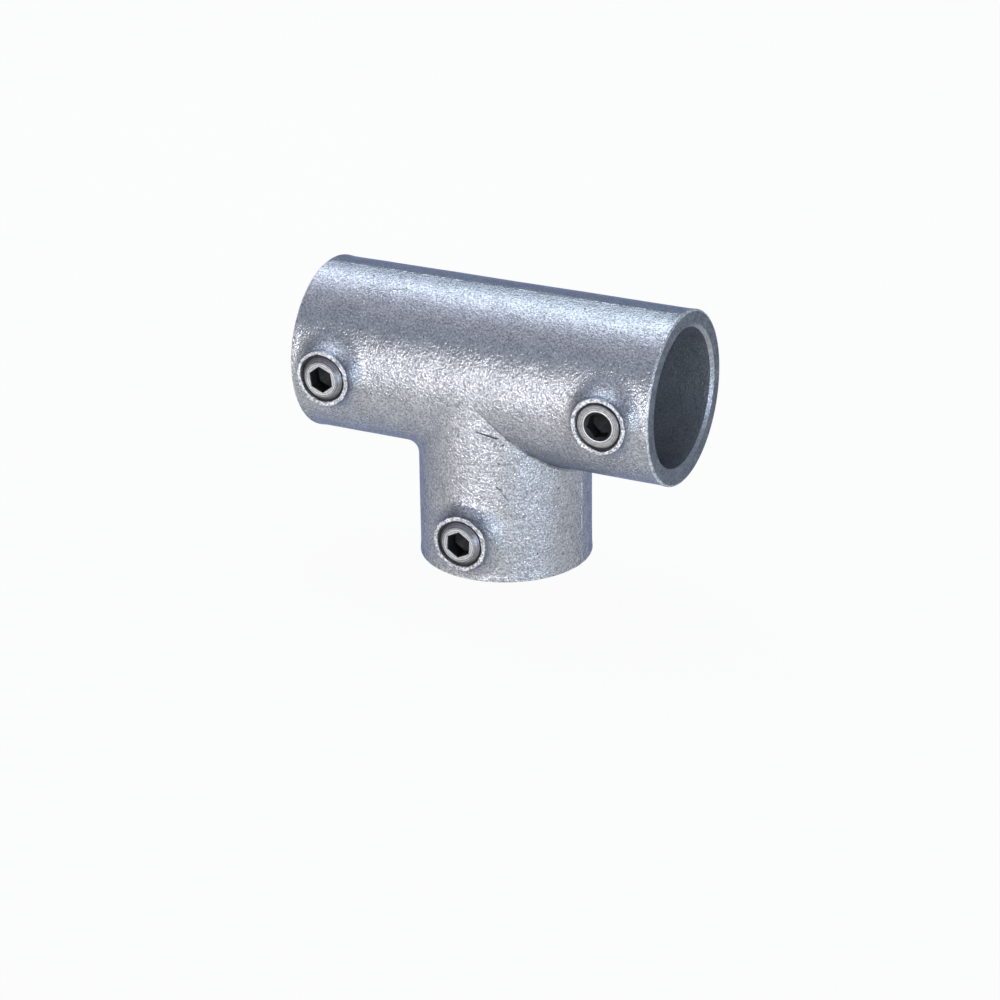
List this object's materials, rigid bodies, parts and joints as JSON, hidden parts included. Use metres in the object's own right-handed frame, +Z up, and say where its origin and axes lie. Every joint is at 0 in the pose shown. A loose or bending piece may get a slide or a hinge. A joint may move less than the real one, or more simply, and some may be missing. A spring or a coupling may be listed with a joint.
{
  "type": "tube clamp tee fitting",
  "caption": "Galvanised cast tee that joins round tubes at a right angle, each tube gripped by a hexagon socket set screw in a boss.",
  "frame": {"origin": "centre of the upright socket's mouth, which is the face the fitting stands on", "axes": "+Z runs up the upright socket, X runs along the sleeve with the right mouth at +X, and the three screw bosses face -Y"},
  "size_m": [0.1386, 0.0687, 0.1005],
  "materials": {
    "galvanised_casting": "malleable iron, rough as cast, hot-dip galvanised",
    "plated_screw": "hardened steel, zinc plated, turned faces"
  },
  "bodies": {
    "casting": {"tee_casting": "galvanised_casting"},
    "left_screw": {"set_screw_left": "plated_screw"},
    "right_screw": {"set_screw_right": "plated_screw"},
    "upright_screw": {"set_screw_upright": "plated_screw"}
  },
  "joints": [
    {"name": "left_screw_travel", "type": "slide", "parent": "casting", "child": "left_screw", "axis": [0, 1, 0], "range_m": [-0.00668, 0.00401]},
    {"name": "right_screw_travel", "type": "slide", "parent": "casting", "child": "right_screw", "axis": [0, 1, 0], "range_m": [-0.00802, 0.00267]},
    {"name": "upright_screw_travel", "type": "slide", "parent": "casting", "child": "upright_screw", "axis": [0, 1, 0], "range_m": [-0.00668, 0.00401]}
  ]
}
